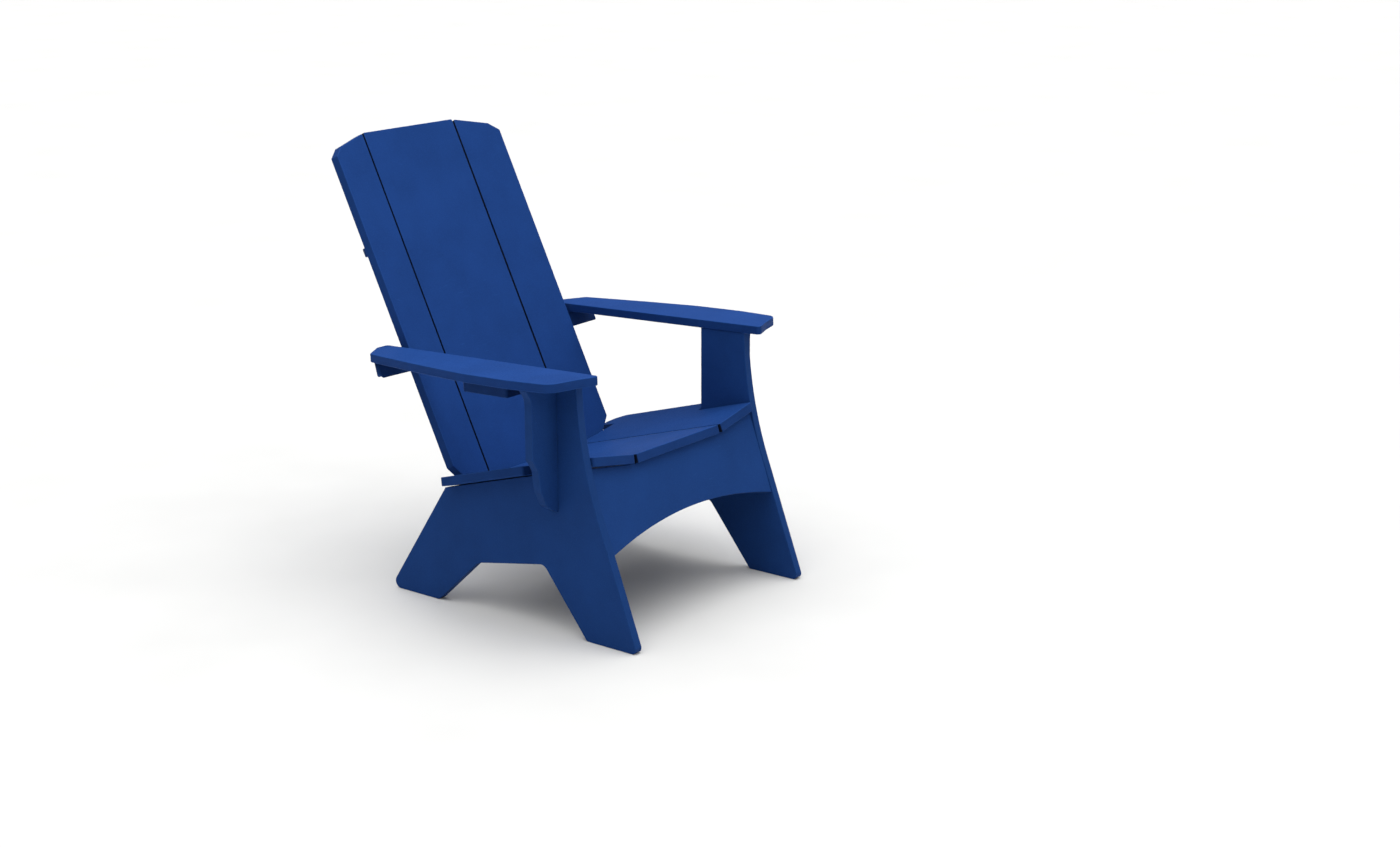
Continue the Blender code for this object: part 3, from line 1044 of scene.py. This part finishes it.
@dataclass
class SeatRails:
    """The arched apron, the two rails under the seat and their corner cleats."""

    arch_height: float = 225.5
    arch_drop: float = 35.0
    arch_steps: int = 24

    def build(self) -> list[bpy.types.Object]:
        """Builds the cross pieces and cleats.

        Returns:
            The finished pieces.
        """
        end = PANEL_INNER - GAP
        seam = SEAT_SEAM - SEAM_HALF
        middle = mirrored([Corner(end, 78, 5), Corner(end, -3.5, 3), Corner(seam, SHEET + 0.8)])
        rear = mirrored([Corner(end, 188, 5), Corner(end, 276, 3), Corner(seam, 253.0)])
        apron_place = shifted(APRON_PLANE, z=-SHEET)
        middle_place = shifted(SEAT_PLANE, y=MIDDLE_RAIL, turn=-90)
        pieces = [
            Board("front_apron", self.apron(), apron_place, FRAME_SHEET, roundover=0.8).build(),
            Board("seat_rail_middle", middle, middle_place, FRAME_SHEET).build(),
            Board("seat_rail_rear", rear, shifted(BACK_PLANE, z=GAP), FRAME_SHEET).build(),
        ]
        return pieces + self._cleats(middle_place)

    def apron(self) -> Outline:
        """Draws the apron: an arch below and the seat's shallow V above.

        Returns:
            The outline.
        """
        end = PANEL_INNER - GAP
        seam = SEAT_SEAM - SEAM_HALF
        slant = math.cos(math.radians(APRON_LEAN))
        steps = range(-self.arch_steps // 2, self.arch_steps // 2 + 1)
        shares = [2 * step / self.arch_steps for step in steps]
        arch = [
            Corner(end * share, (self.arch_height - self.arch_drop * share**2) / slant)
            for share in shares
        ]
        tops = [(end, 361.5), (seam, 342.3), (-seam, 342.3), (-end, 361.5)]
        return arch + [Corner(x, height / slant) for x, height in tops]

    def _cleats(self, middle_place: Matrix) -> list[bpy.types.Object]:
        """Builds the six cleats in the corners between panels and cross pieces.

        Args:
            middle_place: The middle rail's placement.

        Returns:
            The finished pieces.
        """
        spans = {
            "apron": (APRON_PLANE, 225.0, 335.0, -SHEET - GAP - CLEAT_WIDTH),
            "middle": (middle_place, 24.0, 74.0, SHEET + GAP),
            "rear": (BACK_PLANE, 192.0, 244.0, SHEET + 2 * GAP),
        }
        pieces = []
        for side in Side:
            outer = side.value * (PANEL_INNER - GAP)
            left, right = sorted((outer, outer - side.value * CLEAT_WIDTH))
            for rail, (plane, low, high, z) in spans.items():
                outline = [
                    Corner(left, low, 3),
                    Corner(right, low, 3),
                    Corner(right, high, 3),
                    Corner(left, high, 3),
                ]
                name, placement = f"cleat_{rail}_{side.word}", shifted(plane, z=z)
                pieces.append(Board(name, outline, placement, FRAME_SHEET, CLEAT_WIDTH).build())
        return pieces


@dataclass
class ArmSupports:
    """The crossbar behind the slats and the block under the right arm."""

    bar_front: float = 642.0
    bar_depth: float = 22.0
    bar_blank: float = 33.0  # Height of the blank before it is stretched to the arms.
    bar_height: float = 40.0  # More than the finished height, so its top is no rim.
    bend: float = 257.5
    reach_left: float = 362.0
    reach_right: float = 341.0
    end_radius: float = 11.0
    taper_length: float = 45.0
    taper_low: float = 3.0
    taper_gain: float = 7.0
    pocket_radius: float = 5.7
    block: tuple[float, float, float] = (60.0, 122.0, 38.0)
    block_place: tuple[float, float] = (-300.0, 303.0)

    def build(self) -> list[bpy.types.Object]:
        """Builds the crossbar and the block.

        Returns:
            The finished pieces.
        """
        width, length, height = self.block
        left, right = -width / 2, width / 2
        outline = [
            Corner(left, 0, 5),
            Corner(right, 0, 5),
            Corner(right, length, 5),
            Corner(left, length, 5),
        ]
        placement = shifted(ARM_PLANE, *self.block_place, -SHEET - GAP - height)
        block = Board("under_arm_block", outline, placement, FRAME_SHEET, height)
        return [self.crossbar(), block.build()]

    def bar_outline(self) -> Outline:
        """Draws the crossbar's floor, its front edge bent to follow the slats.

        Returns:
            The outline, in width and depth.
        """
        seam = BACK_SEAM - 0.7
        front = [
            Corner(-self.reach_right, self.bar_front, 5),
            Corner(-self.bend, self.bar_front),
            Corner(-seam, 665.7),
            Corner(seam, 665.7),
            Corner(self.bend, self.bar_front),
            Corner(self.reach_left, self.bar_front, 5),
        ]
        rear = [
            Corner(x, depth + self.bar_depth, 2 * radius) for x, depth, radius in reversed(front)
        ]
        return front + rear

    def crossbar(self) -> bpy.types.Object:
        """Cuts the crossbar: it leans with the back, its floor is level, its top meets the arms.

        Returns:
            The finished piece.
        """
        lean = math.tan(math.radians(BACK_RECLINE))
        slope = math.tan(math.radians(ARM_SLOPE))
        floor = place(0, BAR_FLOOR)
        bar = Board("arm_crossbar", self.bar_outline(), floor, FRAME_SHEET, self.bar_blank)
        shape = bar.cut_blank()
        bar.round_rims(shape)
        for vert in shape.verts:
            depth = vert.co.y / MM
            rise = (arm_underside(depth) - GAP - BAR_FLOOR) / (1 + slope * lean)
            share = vert.co.z / (bar.thickness * MM)
            rounded = self._corner_lift(vert.co.x / MM, share * rise)
            vert.co.z = max(share * rise, rounded) * MM
            vert.co.y += vert.co.z * lean - self._end_taper(vert.co, share) * MM
        bar.thickness = self.bar_height
        piece = bar.dress(shape)
        self._counterbore(piece)
        return piece

    def _counterbore(self, bar: bpy.types.Object) -> None:
        """Bores the four pockets that hide the heads of the arm screws.

        Args:
            bar: The finished crossbar.
        """
        shape = bmesh.new()
        for side in Side:
            for across in ARM_SCREWS.values():
                mouth = place(BAR_SCREW_DEPTH, BAR_FLOOR, -BACK_RECLINE, side.value * across)
                bmesh.ops.create_cone(
                    shape,
                    cap_ends=True,
                    segments=32,
                    radius1=self.pocket_radius * MM,
                    radius2=self.pocket_radius * MM,
                    depth=2 * COUNTERBORE * MM,
                    matrix=shifted(mouth, z=0.5),
                )
        mesh = bpy.data.meshes.new("pocket_cutter")
        shape.to_mesh(mesh)
        shape.free()
        cutter = bpy.data.objects.new("pocket_cutter", mesh)
        bpy.context.scene.collection.objects.link(cutter)
        cut = bar.modifiers.new("pockets", "BOOLEAN")
        cut.object = cutter
        bpy.context.view_layer.update()
        evaluated = bar.evaluated_get(bpy.context.evaluated_depsgraph_get())
        bored = bpy.data.meshes.new_from_object(evaluated)
        bar.modifiers.clear()
        bar.data = bored
        bored.name = bar.name
        bpy.data.objects.remove(cutter)

    def _end_taper(self, spot: Vector, share: float) -> float:
        """Gives how far the bar's rear face comes forward towards its ends.

        Args:
            spot: A point of the bar.
            share: Its height, as a share of the bar's.

        Returns:
            The distance forward.
        """
        reach = self.reach_left if spot.x > 0 else self.reach_right
        out = (abs(spot.x) / MM - reach + self.taper_length) / self.taper_length
        behind = spot.y / MM - self.bar_front - self.bar_depth / 2
        if out <= 0 or behind <= 0:
            return 0.0
        return (self.taper_low + self.taper_gain * share) * out

    def _corner_lift(self, across: float, rise: float) -> float:
        """Gives the lowest height that the rounded lower end corners leave at a point.

        Args:
            across: Distance from the middle.
            rise: The point's own height over the bar's floor.

        Returns:
            The least height over the bar's floor.
        """
        reach = self.reach_left if across > 0 else self.reach_right
        inside = self.end_radius - (reach - abs(across))
        if inside <= 0 or rise >= self.end_radius:
            return rise
        return self.end_radius - math.sqrt(max(0.0, self.end_radius**2 - inside**2))


@dataclass
class Fasteners:
    """Pan-head screws, with a six-lobed driving recess, and the hidden dowels."""

    shank_radius: float = 2.4
    head_radius: float = 5.4
    head_height: float = 3.0
    turns: int = 36
    lobes: int = 6
    lobe_depth: float = 0.16
    recess_reach: float = 2.1
    tip_length: float = 3.0
    short: float = 33.0
    sharp_angle: float = 42.0
    inner_column: float = 70.0  # Distance of the screws in the centre slat from the middle.

    def build(self) -> list[bpy.types.Object]:
        """Builds every screw and dresses the dowels.

        Returns:
            The finished pieces.
        """
        steel = StainlessSteel().material()
        beech = BeechDowel().material()
        for name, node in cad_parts.items():
            if name.startswith("dowel"):
                node.data.materials.clear()
                node.data.materials.append(beech)
        return [self.screw(where, steel) for where in self.positions()]

    def positions(self) -> list[Screw]:
        """Works out where every screw sits.

        Returns:
            The screws.
        """
        found: list[Screw] = []
        middle = shifted(SEAT_PLANE, y=MIDDLE_RAIL, turn=-90)
        half_cleat = CLEAT_WIDTH / 2
        for side in Side:
            word, sign = side.word, side.value
            for row, height, outer in (("upper", 815.5, 196.0), ("lower", 335.0, 173.0)):
                near = shifted(BACK_PLANE, sign * self.inner_column, height, -BATTEN_BACK)
                far = shifted(BACK_PLANE, sign * outer, height, -BATTEN_BACK)
                found.append(Screw(f"screw_{row}_batten_centre_{word}", near, self.short))
                found.append(Screw(f"screw_{row}_batten_{word}_{word}", far, 40.0))
            rail = shifted(BACK_PLANE, sign * self.inner_column, 228.0, -SHEET)
            bar = shifted(BACK_PLANE, sign * 90.0, 577.0, -SHEET - 20.8)
            found.append(Screw(f"screw_rear_rail_{word}", rail, self.short))
            found.append(Screw(f"screw_crossbar_slat_{word}", bar, 34.0))
            for end, across in ARM_SCREWS.items():
                under = place(BAR_SCREW_DEPTH, BAR_FLOOR, -BACK_RECLINE, sign * across)
                found.append(Screw(f"screw_crossbar_arm_{end}_{word}", under, 52.0, -COUNTERBORE))
            inner = sign * (PANEL_INNER - GAP - CLEAT_WIDTH)
            out = Matrix.Rotation(math.radians(sign * 90), 4, "Y")
            cleats = {
                "apron": (APRON_PLANE, 239.0, -SHEET - GAP - half_cleat),
                "middle": (middle, 38.0, SHEET + GAP + half_cleat),
                "rear": (BACK_PLANE, 206.0, SHEET + 2 * GAP + half_cleat),
            }
            for board, (plane, y, z) in cleats.items():
                sideways = shifted(plane, inner, y, z) @ out
                found.append(Screw(f"screw_{board}_panel_{word}", sideways, self.short))
            behind = -SHEET - GAP - CLEAT_WIDTH
            apron = shifted(APRON_PLANE, inner + sign * half_cleat, 321.0, behind)
            found.append(Screw(f"screw_apron_{word}", apron, self.short))
        return found

    def screw(self, where: Screw, steel: bpy.types.Material) -> bpy.types.Object:
        """Turns one screw and presses its driving recess.

        Args:
            where: The screw's node, placement and length.
            steel: The metal.

        Returns:
            The finished piece.
        """
        seat = -GAP - where.stand
        top = seat - self.head_height
        crown = [
            (0.0, top + 1.5),
            (1.75, top + 1.5),
            (2.0, top + 0.25),
            (2.25, top),
            (3.4, top + 0.12),
            (4.4, top + 0.6),
            (5.1, top + 1.4),
            (self.head_radius, top + 2.3),
            (self.head_radius, seat - 0.15),
            (self.head_radius - 0.15, seat),
            (self.shank_radius, seat),
        ]
        tip = [(self.shank_radius, where.length - self.tip_length), (0.0, where.length)]
        shape = bmesh.new()
        verts = [shape.verts.new((radius * MM, 0, height * MM)) for radius, height in crown + tip]
        edges = [shape.edges.new(pair) for pair in zip(verts, verts[1:])]
        bmesh.ops.spin(
            shape,
            geom=verts + edges,
            axis=(0, 0, 1),
            cent=(0, 0, 0),
            angle=2 * math.pi,
            steps=self.turns,
            use_merge=True,
        )
        bmesh.ops.remove_doubles(shape, verts=shape.verts, dist=SLACK)
        for vert in shape.verts:
            radius = vert.co.xy.length / MM
            if SLACK / MM < radius < self.recess_reach and vert.co.z / MM < seat:
                angle = self.lobes * math.atan2(vert.co.y, vert.co.x)
                wave = 1 + self.lobe_depth * math.cos(angle)
                vert.co.x *= wave
                vert.co.y *= wave
        bmesh.ops.recalc_face_normals(shape, faces=shape.faces)
        bmesh.ops.transform(shape, matrix=where.placement, verts=shape.verts)
        mesh = bpy.data.meshes.new(where.node + "_steel")
        shape.to_mesh(mesh)
        shape.free()
        mesh.shade_smooth()
        mesh.set_sharp_from_angle(angle=math.radians(self.sharp_angle))
        mesh.materials.append(steel)
        piece = bpy.data.objects.new(where.node + "_steel", mesh)
        bpy.context.scene.collection.objects.link(piece)
        return register(piece, where.node)


@dataclass
class Studio:
    """A plain pale floor, soft lights and the camera."""

    floor_half: float = 60.0
    floor_drop: float = 0.0005
    floor_tone: str = "#cfcfce"
    floor_cloud: str = "#d3d3d2"
    sky_zenith: float = 4.0
    sky_horizon: float = 0.12
    sky_power: float = 3.2
    front_power: float = 14.0
    front_size: float = 2.6
    front_place: tuple[float, float, float] = (1.2, -4.2, 1.9)
    front_target: tuple[float, float, float] = (0.0, 0.0, 0.45)
    camera_place: tuple[float, float, float] = (-3.4925, -3.03603, 1.6287)
    camera_turn: tuple[float, float, float] = (90 - 15.554, 0.0, -52.796)
    lens: float = 56.46

    def build(self) -> None:
        """Sets up floor, lights, sky and camera."""
        self._floor()
        self._lights()
        self._camera()

    def _floor(self) -> None:
        """Lays the floor, with a faint cloudiness so that it isn't dead flat."""
        shape = bmesh.new()
        bmesh.ops.create_grid(shape, x_segments=8, y_segments=8, size=self.floor_half)
        mesh = bpy.data.meshes.new("studio_floor")
        shape.to_mesh(mesh)
        shape.free()
        material, tree = new_material("pale_paper_floor")
        spot = add_node(tree, "TexCoord").outputs["Object"]
        cloud_inputs = {"Vector": spot, "Scale": 3.0, "Detail": 2.0}
        cloud = add_node(tree, "TexNoise", inputs=cloud_inputs).outputs["Fac"]
        share = spread(tree, cloud, (0.3, 0.7), (0.0, 1.0))
        tone = mixed(tree, share, linear_colour(self.floor_tone), linear_colour(self.floor_cloud))
        roughness = spread(tree, cloud, (0.3, 0.7), (0.9, 0.96))
        relief = {"Height": cloud, "Strength": 0.02, "Distance": 0.0005}
        bump = add_node(tree, "Bump", inputs=relief)
        close_material(tree, tone, roughness, bump.outputs["Normal"], {"Specular IOR Level": 0.1})
        mesh.materials.append(material)
        floor = bpy.data.objects.new("studio_floor", mesh)
        bpy.context.scene.collection.objects.link(floor)
        floor.location.z = -self.floor_drop

    def _lights(self) -> None:
        """Lights the chair as a ceiling of soft boxes does, and weakly from the front."""
        world = bpy.data.worlds.new("soft_ceiling_sky")
        world.use_nodes = True
        tree = world.node_tree
        sky = tree.nodes["Background"]
        direction = add_node(tree, "TexCoord").outputs["Generated"]
        up = add_node(tree, "SeparateXYZ", inputs={0: direction}).outputs["Z"]
        height = spread(tree, up, (0.0, 1.0), (0.0, 1.0))
        curve = {0: height, 1: self.sky_power}
        bright = add_node(tree, "Math", {"operation": "POWER"}, curve).outputs[0]
        strength = spread(tree, bright, (0.0, 1.0), (self.sky_horizon, self.sky_zenith))
        tree.links.new(strength, sky.inputs["Strength"])
        sky.inputs["Color"].default_value = (1, 1, 1, 1)
        # Past the floor the eye meets plain white paper instead of the sky.
        paper = add_node(tree, "Background", inputs={"Color": (1, 1, 1, 1), "Strength": 1.0})
        seen = add_node(tree, "LightPath").outputs["Is Camera Ray"]
        both = add_node(tree, "MixShader", inputs={0: seen, 1: sky.outputs[0], 2: paper.outputs[0]})
        tree.links.new(both.outputs[0], tree.nodes["World Output"].inputs["Surface"])
        bpy.context.scene.world = world
        self._front_light()

    def _front_light(self) -> None:
        """Hangs one weak square soft box in front, facing the seat."""
        lamp = bpy.data.lights.new("front_softbox", "AREA")
        lamp.energy = self.front_power
        lamp.size = self.front_size
        light = bpy.data.objects.new("front_softbox", lamp)
        light.location = self.front_place
        facing = Vector(self.front_target) - Vector(self.front_place)
        light.rotation_euler = facing.to_track_quat("-Z", "Y").to_euler()
        bpy.context.scene.collection.objects.link(light)

    def _camera(self) -> None:
        """Sets the camera up and shows colours as they are."""
        lens = bpy.data.cameras.new("studio_camera")
        lens.lens = self.lens
        lens.sensor_width = 36.0
        camera = bpy.data.objects.new("studio_camera", lens)
        camera.location = self.camera_place
        camera.rotation_euler = [math.radians(angle) for angle in self.camera_turn]
        bpy.context.scene.collection.objects.link(camera)
        bpy.context.scene.camera = camera
        bpy.context.scene.view_settings.view_transform = "Standard"


def main() -> None:
    """Builds the chair in order, then the studio round it."""
    logging.basicConfig(level=logging.INFO, format="%(name)s: %(message)s")
    for assembly in (SideFrames(), Seat(), Back(), SeatRails(), ArmSupports(), Fasteners()):
        pieces = assembly.build()
        LOG.info("%s made %d pieces", type(assembly).__name__, len(pieces))
    Studio().build()


if __name__ == "__main__":
    main()
